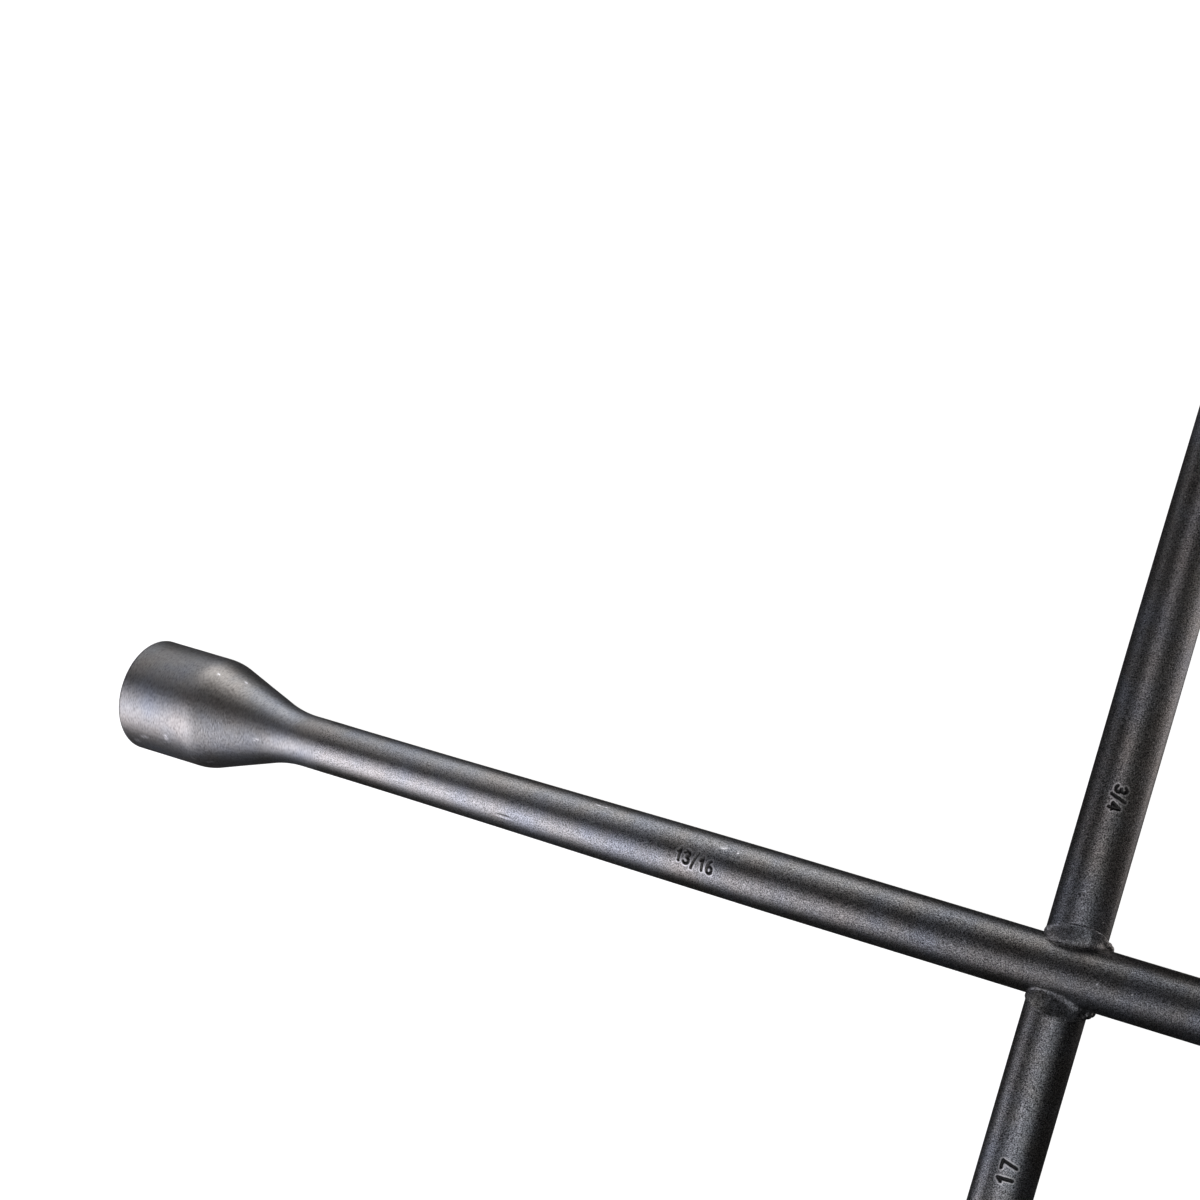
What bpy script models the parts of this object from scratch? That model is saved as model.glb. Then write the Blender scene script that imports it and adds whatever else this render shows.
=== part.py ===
"""Four-way lug wrench: two crossed steel bars with a hex socket forged on each of their four ends.

Metres, +Z up. The wrench lies flat. The long bar runs along X and the cross bar along Y, and their
centre lines cross at the origin. The stamped face looks up. The bars are halved into each other: the
long bar is whole above the crossing and the cross bar is whole below it. A weld bead fills each corner
between a cut shoulder and the bar that passes it.

Every outline is drawn for an arm that points along +X, as (along, radius) or (along, height) pairs.
"""
import math

import bmesh
import bpy

MM = 0.001
INCH = 25.4 * MM

GAP = 0.3 * MM                  # kept between solids that touch on the real wrench
SEGMENTS = 32                   # sides of every turned shape

# Bars
ARM_LENGTH = 305 * MM           # crossing to socket mouth, the same on all four arms
BAR_RADIUS = 8 * MM
NECK_RADIUS = 7.1 * MM
TAPER_START = 70 * MM           # from here the bar thins smoothly to its neck
TAPER_END = 241 * MM            # the neck, where the forged socket begins
TAPER_RINGS = 9

# Half-lap joint at the crossing
SHOULDER_ROOT = 9.2 * MM        # shoulder to crossing, at the lap plane
SHOULDER_RIM = 11.9 * MM        # the same at the bar's outer surface, because the shoulder is bevelled

# Weld beads
WELD_PROUD = 0.5 * MM           # height of the bead above the arm
WELD_REACH = 9 * MM             # height over which the bead is drawn before it is trimmed

# Sockets
CUP_LENGTH = 25 * MM            # length of the cylindrical outside
FLARE_ANGLE = math.radians(17.4)
FLARE_BLEND = 38 * MM           # radius of the hollow blend from neck to flare
SHOULDER_BLEND = 13 * MM        # radius of the round shoulder from flare to cylinder
RIM_ROUND = 0.8 * MM
HEX_CLEARANCE = 0.2 * MM        # added to the nut's size
WALL = 3.25 * MM                # steel outside a hex corner
HEX_DEPTH = 23 * MM
LEAD_IN = 0.6 * MM              # how far the mouth's bevel clears the hex corners
LEAD_ANGLE = math.radians(45)
PILOT_SHARE = 0.9               # pilot hole's radius as a share of the hex's inner radius
PILOT_EXTRA = 2 * MM            # pilot hole below the hex
PILOT_POINT = math.radians(59)  # half angle of the drilled point

SOCKETS = (
    # name, nut size across flats, heading about Z in degrees
    ("socket_13_16_in", 13 / 16 * INCH, 180),
    ("socket_7_8_in", 7 / 8 * INCH, 0),
    ("socket_3_4_in", 3 / 4 * INCH, 90),
    ("socket_17_mm", 17 * MM, 270),
)
BARS = (
    # name, rotation in degrees from a bar along X that is notched underneath
    ("long_bar", (0, 0, 0)),
    ("cross_bar", (180, 0, 90)),
)
WELDS = (
    # name, rotation in degrees from a bead on top of the arm along +X, bar that passes the shoulder
    ("weld_front_upper", (0, 0, 90), "passing_x"),
    ("weld_front_lower", (0, 0, 270), "passing_x"),
    ("weld_back_left", (0, 180, 0), "passing_y"),
    ("weld_back_right", (180, 0, 0), "passing_y"),
)


def clear_scene():
    for item in list(bpy.data.objects):
        bpy.data.objects.remove(item, do_unlink=True)


def steel(name, colour, roughness, metallic):
    material = bpy.data.materials.new(name)
    material.use_nodes = True
    shader = material.node_tree.nodes["Principled BSDF"]
    shader.inputs["Base Color"].default_value = (*colour, 1)
    shader.inputs["Roughness"].default_value = roughness
    shader.inputs["Metallic"].default_value = metallic
    return material


def make_object(name, shape, parent, turn=(0, 0, 0)):
    """Close a bmesh into a smooth-shaded object, turned by Euler angles in degrees."""
    bmesh.ops.recalc_face_normals(shape, faces=shape.faces)
    mesh = bpy.data.meshes.new(name)
    shape.to_mesh(mesh)
    shape.free()
    mesh.shade_smooth()
    mesh.set_sharp_from_angle(angle=math.radians(30))
    item = bpy.data.objects.new(name, mesh)
    bpy.context.scene.collection.objects.link(item)
    item.parent = parent
    item.rotation_euler = [math.radians(angle) for angle in turn]
    return item


def hide_tool(item):
    item.hide_render = True
    item.display_type = "WIRE"
    return item


def lathe(outline):
    """Turn an outline of (along, radius) points, open from axis to axis, about X."""
    shape = bmesh.new()
    points = [shape.verts.new((along, radius, 0)) for along, radius in outline]
    edges = [shape.edges.new(pair) for pair in zip(points, points[1:])]
    bmesh.ops.spin(shape, geom=points + edges, cent=(0, 0, 0), axis=(1, 0, 0),
                   angle=2 * math.pi, steps=SEGMENTS, use_merge=True)
    bmesh.ops.remove_doubles(shape, verts=shape.verts, dist=0.001 * MM)
    return shape


def prism(outline, half_width):
    """Extrude an outline of (along, height) points to half_width on each side, along Y."""
    shape = bmesh.new()
    face = shape.faces.new([shape.verts.new((along, -half_width, height)) for along, height in outline])
    swept = bmesh.ops.extrude_face_region(shape, geom=[face])["geom"]
    corners = [item for item in swept if isinstance(item, bmesh.types.BMVert)]
    bmesh.ops.translate(shape, verts=corners, vec=(0, 2 * half_width, 0))
    return shape


def cut(item, tool, operation="DIFFERENCE"):
    modifier = item.modifiers.new(tool.name, "BOOLEAN")
    modifier.operation = operation
    modifier.solver = "EXACT"
    modifier.object = tool


def arc(corner, before, after, radius, steps=4):
    """Round one corner of an outline with an arc that meets both of its sides."""
    turns = []
    for end in (before, after):
        turns.append(math.atan2(end[1] - corner[1], end[0] - corner[0]))
    half = ((turns[1] - turns[0] + math.pi) % (2 * math.pi) - math.pi) / 2
    middle = turns[0] + half
    reach = radius / abs(math.sin(half))
    centre = (corner[0] + reach * math.cos(middle), corner[1] + reach * math.sin(middle))
    sweep = math.copysign(math.pi / 2 - abs(half), half)
    angles = [middle + math.pi + sweep * (1 - 2 * step / steps) for step in range(steps + 1)]
    return [(centre[0] + radius * math.cos(angle), centre[1] + radius * math.sin(angle)) for angle in angles]


def bar_radius(along):
    """Radius of a bar at a distance from the crossing: straight, then an S-shaped taper to the neck."""
    share = min(max((abs(along) - TAPER_START) / (TAPER_END - TAPER_START), 0), 1)
    return BAR_RADIUS + (NECK_RADIUS - BAR_RADIUS) * share * share * (3 - 2 * share)


def shoulder(height):
    """Distance of the bevelled shoulder from the crossing, at a height over the lap plane."""
    return SHOULDER_ROOT + (SHOULDER_RIM - SHOULDER_ROOT) * height / BAR_RADIUS


def lapped_bar(name, turn, finish, wrench):
    """A bar along X, tapered to both ends, with its underside cut away where the other bar passes."""
    step = (TAPER_END - TAPER_START) / TAPER_RINGS
    right = [TAPER_START + ring * step for ring in range(TAPER_RINGS + 1)]
    rings = [-along for along in reversed(right)] + right
    outline = [(rings[0], 0)] + [(along, bar_radius(along)) for along in rings] + [(rings[-1], 0)]
    bar = make_object(name, lathe(outline), wrench, turn)
    bar.data.materials.append(finish)
    depth = BAR_RADIUS + 1 * MM
    notch = prism([(-shoulder(0), GAP / 2), (shoulder(0), GAP / 2), (shoulder(depth), -depth),
                   (-shoulder(depth), -depth)], depth)
    cut(bar, hide_tool(make_object(name + "_notch", notch, wrench, turn)))
    return bar


def cylinder_tool(name, radius, wrench, turn=(0, 0, 0)):
    length = 30 * MM
    outline = [(-length, 0), (-length, radius), (length, radius), (length, 0)]
    return hide_tool(make_object(name, lathe(outline), wrench, turn))


def weld_bead(name, turn, finish, wrench, sleeve, passing):
    """A bead on top of the arm along +X, from the passing bar's flank up its own bevelled shoulder."""
    floor = GAP / 2
    outline = [
        (6 * MM, floor),
        (shoulder(floor) - GAP, floor),
        (shoulder(WELD_REACH) - GAP, WELD_REACH),
        (shoulder(WELD_REACH) - 3 * GAP, WELD_REACH),
        (10.5 * MM, 6.8 * MM),
        (9.8 * MM, 5 * MM),
        (9 * MM, 3.4 * MM),
        (8.2 * MM, 2.3 * MM),
        (6 * MM, 1.6 * MM),
    ]
    bead = make_object(name, prism(outline, WELD_REACH + 1 * MM), wrench, turn)
    bead.data.materials.append(finish)
    cut(bead, sleeve, "INTERSECT")
    cut(bead, passing)
    return bead


def socket(name, nut_size, heading, finish, wrench):
    """A forged hex socket whose mouth faces along +X at ARM_LENGTH, cut off the bar at its neck."""
    inner = (nut_size + HEX_CLEARANCE) / 2
    corner = inner / math.cos(math.pi / 6)
    outer = corner + WALL
    neck = TAPER_END + GAP
    cup = ARM_LENGTH - CUP_LENGTH
    flare = cup - (outer - NECK_RADIUS) / math.tan(FLARE_ANGLE)
    mouth = corner + LEAD_IN
    pilot = inner * PILOT_SHARE
    pilot_floor = ARM_LENGTH - HEX_DEPTH - PILOT_EXTRA
    outline = [(neck, 0), (neck, NECK_RADIUS)]
    outline += arc((flare, NECK_RADIUS), (neck, NECK_RADIUS), (cup, outer), FLARE_BLEND)
    outline += arc((cup, outer), (flare, NECK_RADIUS), (ARM_LENGTH, outer), SHOULDER_BLEND)
    outline += arc((ARM_LENGTH, outer), (cup, outer), (ARM_LENGTH, 0), RIM_ROUND, 3)
    outline += [(ARM_LENGTH, mouth), (ARM_LENGTH - (mouth - pilot) / math.tan(LEAD_ANGLE), pilot)]
    outline += [(pilot_floor, pilot), (pilot_floor - pilot / math.tan(PILOT_POINT), 0)]
    cup_object = make_object(name, lathe(outline), wrench, (0, 0, heading))
    cup_object.data.materials.append(finish)
    cut(cup_object, hex_tool(name + "_hex", corner, heading, wrench))
    return cup_object


def hex_tool(name, corner, heading, wrench):
    """A hexagonal prism from the hex floor to just outside the mouth, with flats facing up and down."""
    outline = [(corner * math.cos(side * math.pi / 3), corner * math.sin(side * math.pi / 3))
               for side in range(6)]
    shape = bmesh.new()
    start = ARM_LENGTH - HEX_DEPTH
    face = shape.faces.new([shape.verts.new((start, across, height)) for across, height in outline])
    swept = bmesh.ops.extrude_face_region(shape, geom=[face])["geom"]
    corners = [item for item in swept if isinstance(item, bmesh.types.BMVert)]
    bmesh.ops.translate(shape, verts=corners, vec=(HEX_DEPTH + 1 * MM, 0, 0))
    return hide_tool(make_object(name, shape, wrench, (0, 0, heading)))


def build():
    clear_scene()
    wrench = bpy.data.objects.new("wrench", None)
    bpy.context.scene.collection.objects.link(wrench)
    forged = steel("black_steel", (0.035, 0.035, 0.04), 0.42, 0.8)
    welded = steel("weld_steel", (0.06, 0.055, 0.055), 0.5, 0.8)
    for name, turn in BARS:
        lapped_bar(name, turn, forged.copy(), wrench)
    for name, nut_size, heading in SOCKETS:
        socket(name, nut_size, heading, forged.copy(), wrench)
    passing = {
        "passing_x": cylinder_tool("passing_x", BAR_RADIUS + GAP, wrench),
        "passing_y": cylinder_tool("passing_y", BAR_RADIUS + GAP, wrench, (0, 0, 90)),
    }
    sleeves = {
        "passing_x": cylinder_tool("sleeve_y", BAR_RADIUS + WELD_PROUD, wrench, (0, 0, 90)),
        "passing_y": cylinder_tool("sleeve_x", BAR_RADIUS + WELD_PROUD, wrench),
    }
    for name, turn, passed in WELDS:
        weld_bead(name, turn, welded.copy(), wrench, sleeves[passed], passing[passed])


build()
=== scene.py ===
"""Looks of a four-way lug wrench: two crossed, black-finished steel bars with a hex socket on each end.

Metres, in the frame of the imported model: the long bar runs along X, the cross bar along Y, and the
stamped face looks up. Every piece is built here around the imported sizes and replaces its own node.
"""
import math

import bmesh
import bpy
import numpy as np
from mathutils import Euler, Matrix, Vector, noise

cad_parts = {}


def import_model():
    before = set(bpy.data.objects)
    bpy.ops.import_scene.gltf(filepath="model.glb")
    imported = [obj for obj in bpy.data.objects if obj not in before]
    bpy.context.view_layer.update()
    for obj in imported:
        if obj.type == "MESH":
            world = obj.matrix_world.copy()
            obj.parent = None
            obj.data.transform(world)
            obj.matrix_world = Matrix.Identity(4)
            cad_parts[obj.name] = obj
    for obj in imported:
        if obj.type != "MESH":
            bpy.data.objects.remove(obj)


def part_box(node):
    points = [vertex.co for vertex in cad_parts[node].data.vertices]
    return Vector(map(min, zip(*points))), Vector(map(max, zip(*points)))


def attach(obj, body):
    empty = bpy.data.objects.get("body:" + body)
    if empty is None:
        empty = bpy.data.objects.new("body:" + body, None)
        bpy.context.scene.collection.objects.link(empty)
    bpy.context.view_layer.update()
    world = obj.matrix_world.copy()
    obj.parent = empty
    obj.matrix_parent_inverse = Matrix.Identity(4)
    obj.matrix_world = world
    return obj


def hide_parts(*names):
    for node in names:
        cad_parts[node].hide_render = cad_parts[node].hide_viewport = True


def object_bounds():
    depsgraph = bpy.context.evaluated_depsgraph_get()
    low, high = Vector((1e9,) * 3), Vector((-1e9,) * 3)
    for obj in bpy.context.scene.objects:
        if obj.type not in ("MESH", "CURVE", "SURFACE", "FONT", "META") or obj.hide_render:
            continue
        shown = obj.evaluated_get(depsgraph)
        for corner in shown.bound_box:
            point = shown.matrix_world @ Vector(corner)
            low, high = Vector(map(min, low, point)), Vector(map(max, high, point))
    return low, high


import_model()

cad_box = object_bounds()

MM = 0.001

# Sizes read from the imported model
ARM_LENGTH = cad_box[1][0]
NECK_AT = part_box("long_bar")[1].x
BAR_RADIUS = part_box("long_bar")[1].y

# Bars
NECK_RADIUS = 7.1 * MM
TAPER_START = 70 * MM
LAP_GAP = 0.1 * MM              # each bar stops this far short of the plane where they meet

# Halved joint and its welds. The collar on the front is widest on the side that leans toward +X.
SHOULDER_ROOT = 8.1 * MM
SHOULDER_RISE = 0.32            # how far the shoulder slopes outward, per height
SHOULDER_SKEW = 0.24            # and per distance toward the wide side of the collar
COLLAR_ROOT = 8.3 * MM
COLLAR_REACH = 3.35 * MM        # how much farther along the arm it ends on its wide side
COLLAR_TURN = math.radians(38)  # where its wide side is, from the face
COLLAR_PROUD = 0.3 * MM
COLLAR_TENSION = 0.34           # length of its curve's handles, per length of the curve
TOE_HEIGHT = 6.0 * MM           # height at which it meets the other bar
TOE_TUCK = 0.7 * MM             # how far its edge runs on under the surface of that bar
WELD_VOXEL = 0.17 * MM

# Sockets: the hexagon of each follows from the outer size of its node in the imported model
WALL = 3.25 * MM                # steel outside a hex corner
LEAD_IN = 0.6 * MM              # how far the mouth's bevel clears the hex corners
HEX_CORNER_ROUND = 0.25 * MM
CUP_LENGTH = 25 * MM
FLARE_ANGLE = math.radians(17.4)
HEX_DEPTH = 23 * MM
PILOT_SHARE = 0.9               # radius of the pilot hole, per half width of the hexagon
PILOT_DEPTH = 2 * MM            # how far it goes below the floor of the hexagon
PILOT_POINT = 0.6               # depth of its pointed end, per radius
SOCKET_COLUMNS = 240
CHIP_DEPTH = 0.05 * MM
NECK_BLEND = 38 * MM            # radii of the outline at each of its corners
CUP_BLEND = 17 * MM
RIM_BLEND = 0.9 * MM
MOUTH_BLEND = 0.3 * MM
OUTLINE_STEP = 0.45 * MM        # distance between points on its straight stretches

# Surface of the forged steel
RIPPLE = 0.035 * MM             # height of the slow unevenness left by forging
BAR_RIPPLE_SIZE = 14 * MM       # and its length on the bars and the sockets
SOCKET_RIPPLE_SIZE = 9 * MM
RIPPLE_FADE = 8 * MM            # it dies out over this length before a neck
STAMP_DEPTH = 0.42 * MM
STAMP_HALF_WIDTH = 0.4 * MM
STAMP_EDGE_WEAR = 0.4           # bare metal on the raised lips of the stamps
STAMP_LIP = 0.28                # height of the lip, per depth of the stamp
DENT_LIP = 0.2                  # and per depth of a dent
STAMP_STEP = 0.13 * MM          # distance between points across a stamp
MARK_STEP = 0.16 * MM           # across a rubbed spot
BAR_STEP = 1.6 * MM             # and along the plain bar
SHARP_ANGLE = 40                # edges sharper than this stay hard, in degrees


# ------------------------------------------------------------------ meshes

def mesh_object(name, verts, faces, smooth_angle=SHARP_ANGLE):
    mesh = bpy.data.meshes.new(name)
    mesh.from_pydata([tuple(v) for v in verts], [], faces)
    mesh.update()
    mesh.shade_smooth()
    mesh.set_sharp_from_angle(angle=math.radians(smooth_angle))
    item = bpy.data.objects.new(name, mesh)
    bpy.context.scene.collection.objects.link(item)
    return item


def loft(name, rings, smooth_angle=SHARP_ANGLE):
    """Join equal rings of points into one closed body, with a point in the middle of each end."""
    count, around = rings.shape[:2]
    verts = rings.reshape(-1, 3)
    first = verts[:around].mean(0)
    last = verts[-around:].mean(0)
    verts = np.vstack([verts, first, last])
    faces = []
    for ring in range(count - 1):
        low = ring * around
        for k in range(around):
            after = (k + 1) % around
            faces.append((low + k, low + around + k, low + around + after, low + after))
    end = (count - 1) * around
    for k in range(around):
        after = (k + 1) % around
        faces.append((count * around, k, after))
        faces.append((count * around + 1, end + after, end + k))
    return mesh_object(name, verts, faces, smooth_angle)


def face_outward(shape):
    bmesh.ops.recalc_face_normals(shape, faces=shape.faces)


def turned_by(degrees):
    """The turn given by three angles about X, Y and Z."""
    return Euler([math.radians(angle) for angle in degrees]).to_matrix().to_4x4()


def apply_modifiers(item):
    graph = bpy.context.evaluated_depsgraph_get()
    mesh = bpy.data.meshes.new_from_object(item.evaluated_get(graph))
    item.modifiers.clear()
    old = item.data
    item.data = mesh
    bpy.data.meshes.remove(old)


def spread(low, high, step):
    return np.linspace(low, high, max(2, int(math.ceil((high - low) / step)) + 1))


def gather(*parts):
    """One sorted list of places from several, without near doubles."""
    places = np.unique(np.round(np.concatenate(parts), 6))
    keep = np.concatenate([[True], np.diff(places) > 0.02 * MM])
    return places[keep]


# ------------------------------------------------------------------ stamped figures

def curve(centre, radii, start, stop, steps=10):
    angles = np.radians(np.linspace(start, stop, steps + 1))
    return [(centre[0] + radii[0] * math.cos(a), centre[1] + radii[1] * math.sin(a)) for a in angles]


# Strokes of each figure, in a box 0.6 wide and 1 high
FIGURES = {
    "1": [[(0.12, 0.74), (0.34, 1.0), (0.34, 0.0)]],
    "3": [curve((0.28, 0.74), (0.24, 0.26), 150, -90), curve((0.28, 0.25), (0.27, 0.26), 90, -150)],
    "4": [[(0.44, 0.0), (0.44, 1.0), (0.04, 0.3), (0.58, 0.3)]],
    "6": [curve((0.44, 0.42), (0.38, 0.58), 100, 190), curve((0.3, 0.29), (0.25, 0.29), 0, 360, 16)],
    "7": [[(0.06, 1.0), (0.54, 1.0), (0.24, 0.0)]],
    "8": [curve((0.3, 0.75), (0.2, 0.23), 0, 360, 14), curve((0.3, 0.26), (0.26, 0.27), 0, 360, 16)],
    "/": [[(0.08, -0.15), (0.5, 1.15)]],
}


def stamp_strokes(text, height, pitch, lifts):
    """Line pieces of a stamp centred on (0, 0): pairs of ends, in metres, read along the first axis."""
    pieces = []
    for index, figure in enumerate(text):
        middle = (index + 0.5 - len(text) / 2) * pitch
        corner = np.array([middle - 0.3 * height, lifts[index] - height / 2])
        for stroke in FIGURES[figure]:
            points = corner + np.array(stroke) * height
            pieces += list(zip(points[:-1], points[1:]))
    return pieces


def stroke_distance(across, up, pieces):
    """Distance of each place to the nearest stroke."""
    nearest = np.full(across.shape, 1.0)
    for start, end in pieces:
        way = end - start
        share = ((across - start[0]) * way[0] + (up - start[1]) * way[1]) / max(way @ way, 1e-12)
        share = np.clip(share, 0, 1)
        gap = np.hypot(across - start[0] - share * way[0], up - start[1] - share * way[1])
        nearest = np.minimum(nearest, gap)
    return nearest


def wrapped(angle):
    return (angle + math.pi) % (2 * math.pi) - math.pi


def stamp_gap(along, angle, stamp):
    """Distance to the nearest stroke of a stamp, in half widths of its groove, and 9 where it is far."""
    at, around, text, height, pitch, lifts, reading = stamp
    across = (along - at) * reading
    up = wrapped(angle - around) * BAR_RADIUS * reading
    near = (np.abs(across) < pitch * len(text)) & (np.abs(up) < 1.2 * height)
    gap = np.full(along.shape, 9.0)
    strokes = stamp_strokes(text, height, pitch, lifts)
    gap[near] = stroke_distance(across[near], up[near], strokes) / STAMP_HALF_WIDTH
    return gap


def low_ridge(gap):
    """A ridge of height 1 just outside the edge of a stroke or dent, which is at a gap of 1."""
    return np.exp(-((gap - 1.6) / 0.5) ** 2)


def stamp_relief(along, angle, stamp):
    """Height of the surface around one stamp: a punched groove with a small raised lip."""
    gap = stamp_gap(along, angle, stamp)
    groove = np.clip(1 - gap ** 2, 0, 1)
    return STAMP_DEPTH * (STAMP_LIP * low_ridge(gap) - groove)


def dent_relief(along, angle, dent):
    """A long or round dent with a low ridge pushed up around it."""
    at, around, length, width, depth = dent
    rise = wrapped(angle - math.radians(around)) * BAR_RADIUS
    gap = np.hypot((along - at) / (length / 2), rise / (width / 2))
    return -depth * np.exp(-gap ** 2) + DENT_LIP * depth * low_ridge(gap)


def mark_strength(along, angle, radius, mark):
    """Bare metal in one rubbed or chipped spot: an ellipse, broken up by noise if it is a scuff."""
    at, around, length, width, tilt, rough = mark
    tilt = math.radians(tilt)
    run = along - at
    rise = wrapped(angle - math.radians(around)) * radius
    first = (run * math.cos(tilt) + rise * math.sin(tilt)) / (length / 2)
    second = (rise * math.cos(tilt) - run * math.sin(tilt)) / (width / 2)
    inside = np.clip(1.5 * (1 - np.hypot(first, second)), 0, 1)
    if rough:
        spots = inside > 0
        places = np.column_stack([along[spots], rise[spots], rise[spots] * 0])
        inside[spots] *= np.clip(2.5 * uneven(places, rough, 3) + 0.6, 0, 1)
    return inside


def store_wear_and_painted_shade(item, radius, stamps, marks):
    """Store, at each vertex, up to 1 on bare metal, and -1 in the bottom of a stamp as painted shade, for
    the finish.
    """
    mesh = item.data
    points = np.zeros(len(mesh.vertices) * 3)
    mesh.vertices.foreach_get("co", points)
    points = points.reshape(-1, 3)
    along = points[:, 0]
    angle = np.arctan2(points[:, 1], points[:, 2])
    wear_and_painted_shade = np.zeros(len(points))
    for mark in marks:
        wear_and_painted_shade = np.maximum(wear_and_painted_shade, mark_strength(along, angle, radius, mark))
    for stamp in stamps:
        gap = stamp_gap(along, angle, stamp)
        # Bare metal on the lips, and painted shade: -1 in the bottom of each stamp
        wear_and_painted_shade += STAMP_EDGE_WEAR * np.exp(-((gap - 1.7) / 0.4) ** 2) - np.clip(1.3 - gap, 0, 1)
    mesh.attributes.new("wear_and_painted_shade", "FLOAT", "POINT").data.foreach_set("value", wear_and_painted_shade)


def uneven(points, size, seed):
    """Slow, seeded noise between -1 and 1 at each point."""
    shift = Vector((seed * 7.3, seed * 3.1, seed * 5.7))
    return np.array([noise.noise(Vector(point) / size + shift) for point in points.reshape(-1, 3)])


# ------------------------------------------------------------------ bars

def bar_radius(along):
    share = np.clip((np.abs(along) - TAPER_START) / (NECK_AT - TAPER_START), 0, 1)
    return BAR_RADIUS + (NECK_RADIUS - BAR_RADIUS) * share * share * (3 - 2 * share)


def mark_places(marks, radius):
    """Close rows and columns of vertices across each mark."""
    rows = []
    columns = []
    for at, around, length, width, tilt, rough in marks:
        half = max(length, width) / 2
        rows.append(spread(at - half, at + half, MARK_STEP))
        half = half / radius
        columns.append(math.radians(around) + spread(-half, half, MARK_STEP / radius))
    return rows, columns


def bar_grid(stamps, dents, marks):
    """Places along and angles round a bar, closer together across each stamp, dent and mark."""
    rows, columns = mark_places(marks, BAR_RADIUS)
    rows.append(spread(-NECK_AT, NECK_AT, BAR_STEP))
    columns.append(np.radians(np.arange(0, 360, 3.75)))
    for at, around, text, height, pitch, lifts, reading in stamps:
        half = pitch * len(text) / 2 + 0.7 * MM
        rows.append(spread(at - half, at + half, STAMP_STEP))
        half = (0.66 * height + max(np.abs(lifts)) + 0.5 * MM) / BAR_RADIUS
        columns.append(spread(around - half, around + half, STAMP_STEP / BAR_RADIUS))
    for at, around, length, width, depth in dents:
        rows.append(spread(at - length, at + length, 0.25 * MM))
        half = width / BAR_RADIUS
        columns.append(math.radians(around) + spread(-half, half, 0.2 * MM / BAR_RADIUS))
    along = gather(*rows)
    angle = np.unique(np.round(np.mod(np.concatenate(columns), 2 * math.pi), 3))
    return np.meshgrid(along, angle, indexing="ij")


def around_axis(along, radius, angle):
    """Points at a radius and angle round X, measured from +Z toward +Y."""
    return np.stack([along, radius * np.sin(angle), radius * np.cos(angle)], -1)


def bar(name, turn, skew, stamps, dents, marks, seed):
    """A tapered bar along X with stamps and dents, then its half of the joint cut away underneath."""
    along, angle = bar_grid(stamps, dents, marks)
    radius = bar_radius(along)
    for stamp in stamps:
        radius = radius + stamp_relief(along, angle, stamp)
    for dent in dents:
        radius = radius + dent_relief(along, angle, dent)
    points = around_axis(along, radius, angle)
    ripple = uneven(points * (0.5, 1, 1), BAR_RIPPLE_SIZE, seed).reshape(radius.shape)
    fade = np.clip((NECK_AT - np.abs(along)) / RIPPLE_FADE, 0, 1)
    radius = np.minimum(radius + RIPPLE * (ripple - 0.5) * fade, bar_radius(along))
    item = loft(name, around_axis(along, radius, angle)[:, ::-1])
    cut_away(item, notch_tool(name, skew))
    store_wear_and_painted_shade(item, BAR_RADIUS, stamps, marks)
    item.data.transform(turned_by(turn))
    item.data.shade_smooth()
    item.data.set_sharp_from_angle(angle=math.radians(SHARP_ANGLE))
    return item


def cut_away(item, tool):
    cut = item.modifiers.new("lap", "BOOLEAN")
    cut.operation = "DIFFERENCE"
    cut.solver = "EXACT"
    cut.object = tool
    apply_modifiers(item)
    bpy.data.objects.remove(tool)


def notch_tool(name, skew):
    """The block that the other bar takes out of this one: sloping shoulders, below the lap plane."""
    depth = BAR_RADIUS + 1 * MM
    verts = []
    for side in (-depth, depth):
        root = SHOULDER_ROOT + skew * side
        rim = root + SHOULDER_RISE * depth
        verts += [(-root, side, LAP_GAP), (root, side, LAP_GAP), (rim, side, -depth), (-rim, side, -depth)]
    faces = [(0, 1, 2, 3), (7, 6, 5, 4)]
    faces += [(k, k + 4, (k + 1) % 4 + 4, (k + 1) % 4) for k in range(4)]
    item = mesh_object(name + "_notch", verts, faces)
    shape = bmesh.new()
    shape.from_mesh(item.data)
    face_outward(shape)
    shape.to_mesh(item.data)
    shape.free()
    return item


# ------------------------------------------------------------------ sockets

def rounded(corner, before, after, radius, steps=8):
    """Points of an arc that rounds one corner of an outline and meets both of its sides."""
    corner, before, after = (np.array(point, float) for point in (corner, before, after))
    first = (before - corner) / np.linalg.norm(before - corner)
    second = (after - corner) / np.linalg.norm(after - corner)
    half = math.acos(float(np.clip(first @ second, -1, 1))) / 2
    middle = (first + second) / np.linalg.norm(first + second)
    centre = corner + middle * radius / math.sin(half)
    start = corner + first * radius / math.tan(half) - centre
    stop = corner + second * radius / math.tan(half) - centre
    low = math.atan2(start[1], start[0])
    sweep = (math.atan2(stop[1], stop[0]) - low + math.pi) % (2 * math.pi) - math.pi
    angles = [low + sweep * step / steps for step in range(steps + 1)]
    return [(centre[0] + radius * math.cos(a), centre[1] + radius * math.sin(a)) for a in angles]


def resample(outline, step):
    """Add points to the long straight stretches of an outline."""
    places = []
    for start, end in zip(outline[:-1], outline[1:]):
        parts = max(1, int(math.dist(start, end) / step))
        for part in range(parts):
            share = part / parts
            places.append((start[0] + (end[0] - start[0]) * share, start[1] + (end[1] - start[1]) * share))
    places.append(outline[-1])
    return np.array(places)


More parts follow.
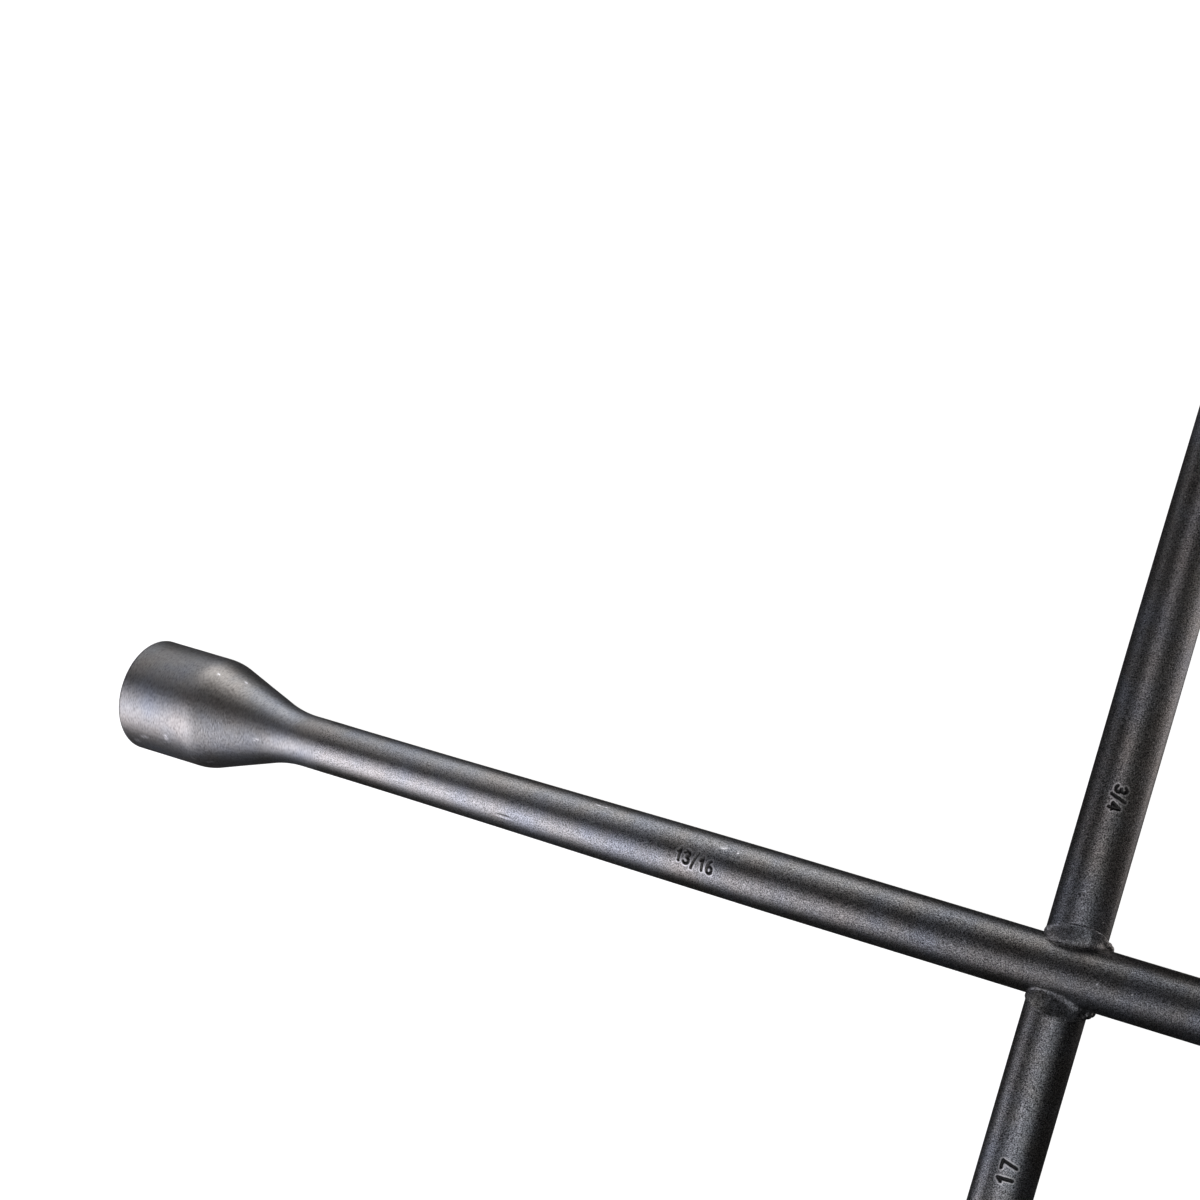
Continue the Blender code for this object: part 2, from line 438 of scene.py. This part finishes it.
def socket_outline(outer, mouth):
    """Half outline from the neck to the mouth, rounded where the flare begins and ends."""
    cup = ARM_LENGTH - CUP_LENGTH
    flare = cup - (outer - NECK_RADIUS) / math.tan(FLARE_ANGLE)
    inside = (ARM_LENGTH - 3 * MM, mouth - 3 * MM)
    outline = [(NECK_AT, NECK_RADIUS)]
    outline += rounded((flare, NECK_RADIUS), (NECK_AT, NECK_RADIUS), (cup, outer), NECK_BLEND, 24)
    outline += rounded((cup, outer), (flare, NECK_RADIUS), (ARM_LENGTH, outer), CUP_BLEND, 14)
    outline += rounded((ARM_LENGTH, outer), (cup, outer), (ARM_LENGTH, mouth), RIM_BLEND, 8)
    outline += rounded((ARM_LENGTH, mouth), (ARM_LENGTH, outer), inside, MOUTH_BLEND, 4)
    return resample(outline, OUTLINE_STEP)


def socket_hole(corner, inner, mouth, angle):
    """Radius and place of each ring inside: a bevel into the hex, its floor, a pilot hole and its point."""
    side = (angle + math.pi / 6) % (math.pi / 3) - math.pi / 6
    hexagon = np.minimum(inner / np.cos(side), corner - HEX_CORNER_ROUND)
    depths = np.concatenate([spread(0.3 * MM, 3 * MM, 0.3 * MM), spread(4 * MM, HEX_DEPTH, 1.5 * MM)])
    radii = [np.maximum(hexagon, mouth - 0.12 * MM - depth) for depth in depths]
    places = [ARM_LENGTH - depth for depth in depths]
    floor = ARM_LENGTH - HEX_DEPTH
    pilot = PILOT_SHARE * inner
    for share in (0.5, 1.0):
        radii.append(hexagon * (1 - share) + pilot * share)
        places.append(floor - 0.2 * MM * share)
    for share in (1, 0.97, 0.6, 0.3, 0.02):
        radii.append(np.full(len(angle), pilot * share))
        places.append(floor - PILOT_DEPTH - (1 - share) * pilot * PILOT_POINT)
    return np.array(radii), np.repeat(np.array(places)[:, None], len(angle), axis=1)


def socket(name, node_name, heading, marks, seed):
    """A forged socket along +X, from the neck of its bar to the mouth, with a hex hole inside."""
    low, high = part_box(node_name)
    outer = (high - low).z / 2
    corner = outer - WALL
    mouth = corner + LEAD_IN
    outside = socket_outline(outer, mouth)
    angle = np.arange(SOCKET_COLUMNS) * 2 * math.pi / SOCKET_COLUMNS
    along = np.repeat(outside[:, 0:1], SOCKET_COLUMNS, axis=1)
    radius = np.repeat(outside[:, 1:2], SOCKET_COLUMNS, axis=1)
    points = around_axis(along, radius, angle)
    ripple = uneven(points, SOCKET_RIPPLE_SIZE, seed).reshape(radius.shape)
    fade = np.clip((along - NECK_AT) / RIPPLE_FADE, 0, 1) * np.clip((ARM_LENGTH - along) / (1 * MM), 0, 1)
    radius = radius + RIPPLE * (ripple - 1) * fade
    for mark in marks:
        radius = radius - CHIP_DEPTH * mark_strength(along, angle[None, :] + 0 * along, outer, mark)
    hole_radius, hole_along = socket_hole(corner, corner * math.cos(math.pi / 6), mouth, angle)
    radius = np.vstack([radius, hole_radius])
    along = np.vstack([along, hole_along])
    item = loft(name, around_axis(along, radius, angle)[:, ::-1], 32)
    store_wear_and_painted_shade(item, outer, [], marks)
    item.data.transform(Matrix.Rotation(math.radians(heading), 4, "Z"))
    return item


# ------------------------------------------------------------------ welds

def bezier(points, steps):
    first, second, third, fourth = (np.array(point, float) for point in points)
    made = []
    for share in np.linspace(0, 1, steps):
        left = 1 - share
        made.append(left ** 3 * first + 3 * left ** 2 * share * second
                    + 3 * left * share ** 2 * third + share ** 3 * fourth)
    return np.array(made)


def smooth_step(value, low, high):
    share = min(max((value - low) / (high - low), 0.0), 1.0)
    return share * share * (3 - 2 * share)


def collar_rim(turned, lean):
    """How far along its arm the collar ends, at an angle from the face side toward +X."""
    reach = COLLAR_ROOT + COLLAR_REACH * math.cos(0.92 * (turned - lean))
    crotch = BAR_RADIUS * abs(math.sin(turned))
    back = smooth_step(turned, math.radians(113), math.radians(140))
    return max(reach + (crotch + 0.4 * MM - reach) * back, crotch + 0.2 * MM)


def collar_toe(turned):
    """Distance from the arm's axis to where the bead meets the other bar, and how far along that is."""
    flat = TOE_HEIGHT / max(math.cos(turned), 0.05)
    crotch = BAR_RADIUS + 0.4 * MM + 1.0 * MM * smooth_step(turned, 0, math.radians(80))
    out = (flat ** -4 + crotch ** -4) ** -0.25
    return out, math.sqrt(BAR_RADIUS ** 2 - (out * math.cos(turned)) ** 2)


def collar_section(turned, lean, ragged):
    """Closed outline of the bead in the plane at one angle round the arm, as (along, out)."""
    out, along = collar_toe(turned)
    rim = collar_rim(turned, lean) + ragged
    top = BAR_RADIUS + COLLAR_PROUD
    reach = COLLAR_TENSION * math.dist((along, out), (rim, top))
    flank = math.atan2(out * math.cos(turned) ** 2, along)
    leave = (along + reach * math.sin(flank), out - reach * math.cos(flank))
    slope = math.radians(8 + 20 * smooth_step(top - out, 0, 3 * MM))
    climb = (rim - reach * math.cos(slope), top - reach * math.sin(slope))
    face = bezier([(along - 0.05 * MM, out), leave, climb, (rim, top)], 16)
    # Round the rim, down inside the arm and back under the other bar
    back = [(rim + 0.3 * MM, top - 0.02 * MM), (rim + 0.55 * MM, BAR_RADIUS - 0.4 * MM),
            (rim + 0.2 * MM, BAR_RADIUS - 2.4 * MM), (rim - 0.5 * MM, 0.8 * MM),
            (along - 1.2 * MM, 0.8 * MM), (along - 1.2 * MM, out - 0.3 * MM)]
    sunk = (along - TOE_TUCK * math.sin(flank) - 0.13 * MM * math.cos(flank),
            out + TOE_TUCK * math.cos(flank) - 0.13 * MM * math.sin(flank))
    return np.vstack([face, back, sunk])


def weld(name, turn, side, lean, span, lumps, seed):
    """A collar of weld round the root of the arm along +X, with lumps, remeshed as one body."""
    rings = []
    for step, turned in enumerate(np.radians(np.linspace(*span, 90))):
        ragged = 0.14 * MM * noise.noise(Vector((step * 0.21, seed, 0)))
        section = collar_section(turned, lean, ragged)
        lateral = side * section[:, 1] * math.sin(turned)
        rings.append(np.column_stack([section[:, 0], lateral, section[:, 1] * math.cos(turned)]))
    item = loft(name, np.array(rings))
    shape = bmesh.new()
    shape.from_mesh(item.data)
    face_outward(shape)
    for centre, size in lumps:
        place = Matrix.Translation(Vector(centre) * MM) @ Matrix.Diagonal((*(Vector(size) * MM), 1))
        bmesh.ops.create_icosphere(shape, subdivisions=3, radius=1, matrix=place)
    shape.to_mesh(item.data)
    shape.free()
    remesh = item.modifiers.new("remesh", "REMESH")
    remesh.mode = "VOXEL"
    remesh.voxel_size = WELD_VOXEL
    smooth = item.modifiers.new("smooth", "SMOOTH")
    smooth.factor = 0.5
    smooth.iterations = 2
    apply_modifiers(item)
    roughen(item.data, seed)
    item.data.transform(turned_by(turn))
    item.data.shade_smooth()
    return item


def roughen(mesh, seed):
    """Push each point along its normal: slow and fine noise, and faint bead marks."""
    count = len(mesh.vertices)
    points = np.zeros(count * 3)
    normals = np.zeros(count * 3)
    mesh.vertices.foreach_get("co", points)
    mesh.vertex_normals.foreach_get("vector", normals)
    points = points.reshape(-1, 3)
    normals = normals.reshape(-1, 3)
    coarse = uneven(points, 1.7 * MM, seed)
    fine = uneven(points, 0.6 * MM, seed + 5)
    beads = np.sin(points[:, 1] / (0.62 * MM) + 1.5 * coarse)
    points = points + normals * (0.08 * coarse + 0.04 * fine + 0.025 * beads)[:, None] * MM
    mesh.vertices.foreach_set("co", points.reshape(-1))


# ------------------------------------------------------------------ materials

BARE_STEEL = (0.95, 0.95, 0.97)
WARM_BLACK = (0.21, 0.2, 0.19)
PLAIN_BLACK = (0.2, 0.2, 0.2)
COOL_BLACK = (0.19, 0.2, 0.22)
# Painted shade: the bottoms of the stamped grooves are painted nearly black
STAMP_PAINTED_SHADE = (0.05, 0.05, 0.05)
GRAIN_SCALE = 3300              # grains per metre
GRAIN_HEIGHT = 0.045 * MM
NEAR_PAINTED_GLINTS = 2.3                # how sharply the grains and their painted glints stand out near the crossing
FAR_PAINTED_GLINTS = 1.1                 # and out at the sockets
PATCH_SCALE = 70
NEAR_PAINTED_SHADE = 0.9                # painted shade: brightness of the colour near the crossing, darker there
FAR_PAINTED_LIGHT = 1.65                # and painted light out at the sockets, lighter there
NEAR_END = 30 * MM              # where the change from near to far begins and ends
FAR_START = 200 * MM


def node(tree, kind, **values):
    made = tree.nodes.new(kind)
    for key, value in values.items():
        if key in made.inputs:
            made.inputs[key].default_value = value
        else:
            setattr(made, key, value)
    return made


def noise_at(tree, coordinates, scale, detail, stretch=(1, 1, 1)):
    mapping = node(tree, "ShaderNodeMapping", Scale=stretch)
    tree.links.new(coordinates, mapping.inputs["Vector"])
    made = node(tree, "ShaderNodeTexNoise", Scale=scale, Detail=detail)
    tree.links.new(mapping.outputs["Vector"], made.inputs["Vector"])
    return made.outputs["Fac"]


def ramp(tree, value, stops):
    made = tree.nodes.new("ShaderNodeValToRGB")
    tree.links.new(value, made.inputs["Fac"])
    while len(made.color_ramp.elements) < len(stops):
        made.color_ramp.elements.new(0.5)
    for element, (place, colour) in zip(made.color_ramp.elements, stops):
        element.position = place
        element.color = (*colour, 1)
    return made.outputs["Color"]


def mixed(tree, factor, first, second, blend_type="MIX"):
    """Mix two colours, each a socket or a plain colour."""
    made = node(tree, "ShaderNodeMix", data_type="RGBA", blend_type=blend_type)
    wanted = {"Factor": factor, "A": first, "B": second}
    sockets = {"Factor": made.inputs[0], "A": made.inputs[6], "B": made.inputs[7]}
    for key, value in wanted.items():
        if isinstance(value, bpy.types.NodeSocket):
            tree.links.new(value, sockets[key])
        else:
            sockets[key].default_value = value if key == "Factor" else (*value, 1)
    return made.outputs[2]


def by_distance(tree, place, near, far):
    """A value that changes slowly along the arms: near around the crossing, far toward the sockets."""
    length = node(tree, "ShaderNodeVectorMath", operation="LENGTH")
    tree.links.new(place, length.inputs[0])
    made = node(tree, "ShaderNodeMapRange", **{"From Min": NEAR_END, "From Max": FAR_START})
    made.inputs["To Min"].default_value = near
    made.inputs["To Max"].default_value = far
    tree.links.new(length.outputs["Value"], made.inputs["Value"])
    return made.outputs["Result"]


def grain_with_painted_glints_and_shade(tree, place, speckle, grain):
    """Brightness of the grain, around 1 and with painted bright glints: strongest near the crossing. It
    also carries painted shade, darker near the crossing and lighter toward the sockets.
    """
    doubled = node(tree, "ShaderNodeMath", operation="MULTIPLY")
    tree.links.new(speckle, doubled.inputs[0])
    doubled.inputs[1].default_value = 2.0
    # Painted glints: the power turns the grain into bright spots in the colour
    sharpened = node(tree, "ShaderNodeMath", operation="POWER")
    tree.links.new(doubled.outputs["Value"], sharpened.inputs[0])
    tree.links.new(by_distance(tree, place, NEAR_PAINTED_GLINTS * grain, FAR_PAINTED_GLINTS * grain), sharpened.inputs[1])
    # Painted shade and light: the colour is multiplied by a brightness that is darker near the crossing and
    # lighter toward the sockets
    shaded = node(tree, "ShaderNodeMath", operation="MULTIPLY")
    tree.links.new(sharpened.outputs["Value"], shaded.inputs[0])
    tree.links.new(by_distance(tree, place, NEAR_PAINTED_SHADE, FAR_PAINTED_LIGHT), shaded.inputs[1])
    return shaded.outputs["Value"]


def black_steel(name, stretch=(1, 1, 1), grain=0.85, shade=1.0, roughness=0.36):
    """Black oxide over forged steel: fine grain with painted glints, slow cool and warm patches, and a soft
    sheen. The colour also carries painted shade: darker near the crossing, lighter toward the sockets, and
    nearly black in the bottoms of the stamps.
    """
    material = bpy.data.materials.new(name)
    material.use_nodes = True
    tree = material.node_tree
    shader = tree.nodes["Principled BSDF"]
    place = tree.nodes.new("ShaderNodeTexCoord").outputs["Object"]
    speckle = noise_at(tree, place, GRAIN_SCALE, 0, stretch)
    patches = noise_at(tree, place, PATCH_SCALE, 3)
    blacks = [(0.32, WARM_BLACK), (0.5, PLAIN_BLACK), (0.68, COOL_BLACK)]
    # shade scales the whole colour: painted light on the sockets and painted shade on the welds
    tint = ramp(tree, patches, [(at, [part * shade for part in black]) for at, black in blacks])
    # Grain with painted glints and painted shade and light, multiplied into the colour
    light = grain_with_painted_glints_and_shade(tree, place, speckle, grain)
    tint_grain_and_painted_light = mixed(tree, 1.0, tint, light, "MULTIPLY")
    wear_and_painted_shade = node(tree, "ShaderNodeAttribute", attribute_name="wear_and_painted_shade").outputs["Fac"]
    bare = node(tree, "ShaderNodeMapRange")
    # Painted shade: below 0, in the bottoms of the stamps, the colour goes nearly black
    stamp_painted_shade_mask = node(tree, "ShaderNodeMapRange", **{"From Max": -1.0})
    tree.links.new(wear_and_painted_shade, bare.inputs["Value"])
    tree.links.new(wear_and_painted_shade, stamp_painted_shade_mask.inputs["Value"])
    rubbed = mixed(tree, bare.outputs["Result"], tint_grain_and_painted_light, BARE_STEEL)
    worn_and_painted_shade = mixed(tree, stamp_painted_shade_mask.outputs["Result"], rubbed, STAMP_PAINTED_SHADE)
    tree.links.new(worn_and_painted_shade, shader.inputs["Base Color"])
    shader.inputs["Metallic"].default_value = 1.0
    rough = ramp(tree, patches, [(0.3, (roughness - 0.03,) * 3), (0.7, (roughness + 0.03,) * 3)])
    tree.links.new(rough, shader.inputs["Roughness"])
    bump = node(tree, "ShaderNodeBump", Strength=1.0, Distance=GRAIN_HEIGHT)
    tree.links.new(speckle, bump.inputs["Height"])
    tree.links.new(bump.outputs["Normal"], shader.inputs["Normal"])
    return material


# ------------------------------------------------------------------ build

def finish_piece(item, material, node_name):
    item.data.materials.clear()
    item.data.materials.append(material)
    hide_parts(node_name)
    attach(item, "root")


# (along, angle round the bar, text, height, pitch, lift of each figure, reading direction)
LONG_STAMPS = [
    (-111.2 * MM, math.radians(-3.6), "13/16", 3.3 * MM, 2.55 * MM,
     (0.62 * MM, 0.3 * MM, 0, -0.3 * MM, -0.62 * MM), 1),
    (75 * MM, math.radians(-4), "7/8", 3.3 * MM, 2.5 * MM, (0.3 * MM, 0, -0.3 * MM), 1),
]
CROSS_STAMPS = [
    (44.8 * MM, math.radians(147.5), "3/4", 2.9 * MM, 2.2 * MM, (0.2 * MM, 0, -0.35 * MM), -1),
    (-51.8 * MM, math.radians(150.7), "17", 3.9 * MM, 3.6 * MM, (0.1 * MM, -0.1 * MM), 1),
]
# (along, degrees round, length, width, depth)
LONG_DENTS = [
    (-174.5 * MM, -33, 4.6 * MM, 0.9 * MM, 0.16 * MM),
    (-62 * MM, 20, 2.0 * MM, 2.0 * MM, 0.05 * MM),
]
CROSS_DENTS = [(30 * MM, 150, 1.8 * MM, 1.8 * MM, 0.05 * MM)]

# Rubbed spots: (along, degrees round, length, width, tilt in degrees, size of its breaks or 0)
LONG_MARKS = [
    (-147.2 * MM, 52, 2.6 * MM, 0.5 * MM, 0, 0),
    (-144.6 * MM, 52, 1.6 * MM, 0.5 * MM, 0, 0),
    (-146.0 * MM, 52, 6.0 * MM, 0.4 * MM, 0, 0.3 * MM),
    (-99.7 * MM, 35, 0.9 * MM, 0.6 * MM, 20, 0),
    (-104.4 * MM, 37, 2.6 * MM, 1.2 * MM, 10, 0.3 * MM),
    (-26.3 * MM, 1, 2.4 * MM, 0.3 * MM, -35, 0.4 * MM),
    (14.1 * MM, -5, 1.5 * MM, 0.28 * MM, 55, 0),
    (14.1 * MM, -6, 1.1 * MM, 0.26 * MM, -20, 0),
    (24.4 * MM, -5.5, 0.6 * MM, 0.4 * MM, 60, 0),
]
CROSS_MARKS = [
    (-16.0 * MM, 125, 0.5 * MM, 0.4 * MM, 0, 0),
    (14.2 * MM, 108, 0.6 * MM, 0.4 * MM, 0, 0),
]
SCUFFED_SOCKET = [
    (277.3 * MM, -46.4, 1.3 * MM, 0.8 * MM, 20, 0),
    (270.1 * MM, -58.1, 1.7 * MM, 1.0 * MM, -20, 0),
    (300.5 * MM, 62, 3.6 * MM, 2.2 * MM, 20, 0.35 * MM),
    (296.5 * MM, 51, 4.0 * MM, 1.6 * MM, 10, 0.35 * MM),
    (287.7 * MM, 42, 3.0 * MM, 2.2 * MM, 40, 0.4 * MM),
    (280.3 * MM, 65, 1.6 * MM, 0.8 * MM, 0, 0.3 * MM),
    (275.9 * MM, 72, 3.2 * MM, 1.4 * MM, 0, 0.3 * MM),
    (260.1 * MM, 25, 2.6 * MM, 1.6 * MM, 30, 0.3 * MM),
]
OTHER_SOCKET = [
    (300 * MM, 130, 3.2 * MM, 1.6 * MM, 10, 0.35 * MM),
    (272 * MM, -70, 1.0 * MM, 0.6 * MM, 20, 0),
]

# Lumps at the ends of each front collar: (centre, half sizes) in millimetres, arm along +X
LUMPS = [((8.8, 8.3, -1.6), (1.2, 1.2, 1.5)), ((8.2, 8.2, -3.4), (1.2, 1.1, 1.3)),
         ((9.6, 7.9, -0.4), (1.0, 0.9, 1.2))]


def build():
    finish = black_steel("bar_finish")
    bars = [("long_bar", (0, 0, 0), 0, LONG_STAMPS, LONG_DENTS, LONG_MARKS),
            ("cross_bar", (180, 0, 90), SHOULDER_SKEW, CROSS_STAMPS, CROSS_DENTS, CROSS_MARKS)]
    for index, (name, turn, skew, stamps, dents, marks) in enumerate(bars):
        piece = bar("steel_" + name, turn, skew, stamps, dents, marks, 1 + index)
        finish_piece(piece, finish, name)
    build_sockets()
    build_welds()


def build_sockets():
    """The grain of each socket is drawn out around it, so it needs one finish for each direction."""
    # Painted light: the sockets' black is painted 1.1 times as bright as the bars'
    along_x = black_steel("socket_finish_x", (1, 0.35, 0.35), 0.35, 1.1, 0.42)
    along_y = black_steel("socket_finish_y", (0.35, 1, 0.35), 0.35, 1.1, 0.42)
    sockets = [("socket_13_16_in", 180, along_x, SCUFFED_SOCKET),
               ("socket_7_8_in", 0, along_x, OTHER_SOCKET),
               ("socket_3_4_in", 90, along_y, OTHER_SOCKET),
               ("socket_17_mm", 270, along_y, OTHER_SOCKET)]
    for index, (name, heading, finish, marks) in enumerate(sockets):
        piece = socket("steel_" + name, name, heading, marks, 10 + index)
        finish_piece(piece, finish, name)


def build_welds():
    """The front collars lean toward +X, which is the right of one arm and the left of the other."""
    # Painted shade: the welds' black is painted 0.9 times as bright as the bars'
    finish = black_steel("weld_finish", shade=0.9, grain=0.8, roughness=0.47)
    front = (-78, 140)
    back = (-76, 76)
    welds = [("weld_front_upper", (0, 0, 90), -1, COLLAR_TURN, front),
             ("weld_front_lower", (0, 0, 270), 1, COLLAR_TURN, front),
             ("weld_back_left", (0, 180, 0), 1, 0, back),
             ("weld_back_right", (180, 0, 0), 1, 0, back)]
    for index, (name, turn, side, lean, span) in enumerate(welds):
        lumps = [((x, side * y, z), size) for (x, y, z), size in LUMPS] if lean else []
        piece = weld("bead_" + name, turn, side, lean, span, lumps, 20 + index)
        finish_piece(piece, finish, name)


# ------------------------------------------------------------------ stage, light and camera

# The view comes from a least-squares fit: what it looks at, from how far and where, and its lens
CAMERA_AIM = Vector((-0.1687, 0.0580, 0.0))
CAMERA_DISTANCE = 1.654
CAMERA_UP = Vector((-0.21726, 0.9592, 0.1809))
CAMERA_FROM = Vector((0.58101, -0.02185, 0.81361))
CAMERA_LENS = 187.64


def camera_axes():
    back = CAMERA_FROM.normalized()
    right = CAMERA_UP.cross(back).normalized()
    return right, back.cross(right), back


def camera():
    right, up, back = camera_axes()
    data = bpy.data.cameras.new("camera")
    data.lens = CAMERA_LENS
    data.clip_start = 0.01
    data.clip_end = 50
    item = bpy.data.objects.new("camera", data)
    bpy.context.scene.collection.objects.link(item)
    place = Matrix((right, up, back)).transposed().to_4x4()
    place.translation = CAMERA_AIM + back * CAMERA_DISTANCE
    item.matrix_world = place
    bpy.context.scene.camera = item


WORLD_LIGHT = 0.012

# (name, direction in the camera's right, up and back, distance, side, target, watts of red, green, blue)
# A numerical fit chose the places and watts of the first ten, and the watts were then scaled.
# The last two were set one by one.
SOFTBOXES = [
    ("softbox_over_socket", (-0.1, 0.98, 0.15), 0.42, 0.34, (-0.25, 0, 0), (0.198, 0.192, 0.191)),
    ("softbox_left_of_middle", (-0.953, -0.219, 0.207), 0.45, 0.34, (-0.14, 0, 0), (0.139, 0.133, 0.121)),
    ("softbox_wide_front", (-0.336, -0.059, 0.94), 1.6, 0.9, (-0.02, 0, 0), (2.174, 2.011, 2.121)),
    ("softbox_right", (0.983, 0.184, -0.02), 0.42, 0.34, (-0.25, 0, 0), (0.338, 0.310, 0.305)),
    ("softbox_low", (-0.834, -0.542, 0.1), 0.42, 0.34, (-0.25, 0, 0), (0.419, 0.405, 0.435)),
    ("softbox_over_bar", (-0.22, 0.936, -0.273), 0.5, 0.34, (-0.14, 0, 0), (0.235, 0.240, 0.259)),
    ("softbox_left", (-0.953, -0.219, 0.207), 0.42, 0.34, (-0.25, 0, 0), (0.435, 0.438, 0.511)),
    ("softbox_right_upper", (0.87, 0.24, 0.43), 0.6, 0.34, (0, 0.12, 0), (0.465, 0.430, 0.411)),
    ("softbox_high_left", (-0.614, 0.786, 0.073), 0.7, 0.34, (-0.25, 0, 0), (0.149, 0.142, 0.147)),
    ("softbox_top", (-0.22, 0.936, -0.273), 0.7, 0.34, (-0.02, 0, 0), (0.272, 0.266, 0.261)),
    ("softbox_front_left", (-0.3, -0.3, 0.9), 0.5, 0.34, (-0.25, 0, 0), (0.136, 0.136, 0.140)),
    ("softbox_front_right", (0.3, -0.35, 0.88), 0.5, 0.3, (-0.27, 0, 0), (0.252, 0.252, 0.252)),
]


def softbox(name, direction, distance, side, target, watts):
    """A square soft light, aimed at its target from a direction given in the camera's axes."""
    right, up, back = camera_axes()
    way = (right * direction[0] + up * direction[1] + back * direction[2]).normalized()
    data = bpy.data.lights.new(name, "AREA")
    data.size = side
    data.energy = 1
    data.color = watts
    item = bpy.data.objects.new(name, data)
    bpy.context.scene.collection.objects.link(item)
    item.location = Vector(target) + way * distance
    item.rotation_euler = way.to_track_quat("Z", "Y").to_euler()


def world(strength):
    made = bpy.data.worlds.new("studio")
    bpy.context.scene.world = made
    made.use_nodes = True
    shade = made.node_tree.nodes["Background"]
    shade.inputs["Color"].default_value = (1, 1, 1, 1)
    shade.inputs["Strength"].default_value = strength


def floor():
    """White paper that glows evenly and takes no part in the light on the wrench."""
    data = bpy.data.meshes.new("floor")
    half = 4.0
    height = cad_box[0][2] - 0.2 * MM
    corners = [(-half, -half, height), (half, -half, height), (half, half, height), (-half, half, height)]
    data.from_pydata(corners, [], [(0, 1, 2, 3)])
    item = bpy.data.objects.new("floor", data)
    bpy.context.scene.collection.objects.link(item)
    material = bpy.data.materials.new("floor_paper")
    material.use_nodes = True
    shader = material.node_tree.nodes["Principled BSDF"]
    shader.inputs["Base Color"].default_value = (0.3, 0.3, 0.3, 1)
    shader.inputs["Roughness"].default_value = 0.9
    shader.inputs["Emission Color"].default_value = (1, 1, 1, 1)
    shader.inputs["Emission Strength"].default_value = 1.0
    data.materials.append(material)
    item.visible_glossy = False
    item.visible_diffuse = False
    item.visible_shadow = False


def stage():
    bpy.context.scene.view_settings.view_transform = "Standard"
    camera()
    floor()
    world(WORLD_LIGHT)
    for values in SOFTBOXES:
        softbox(*values)


build()
stage()
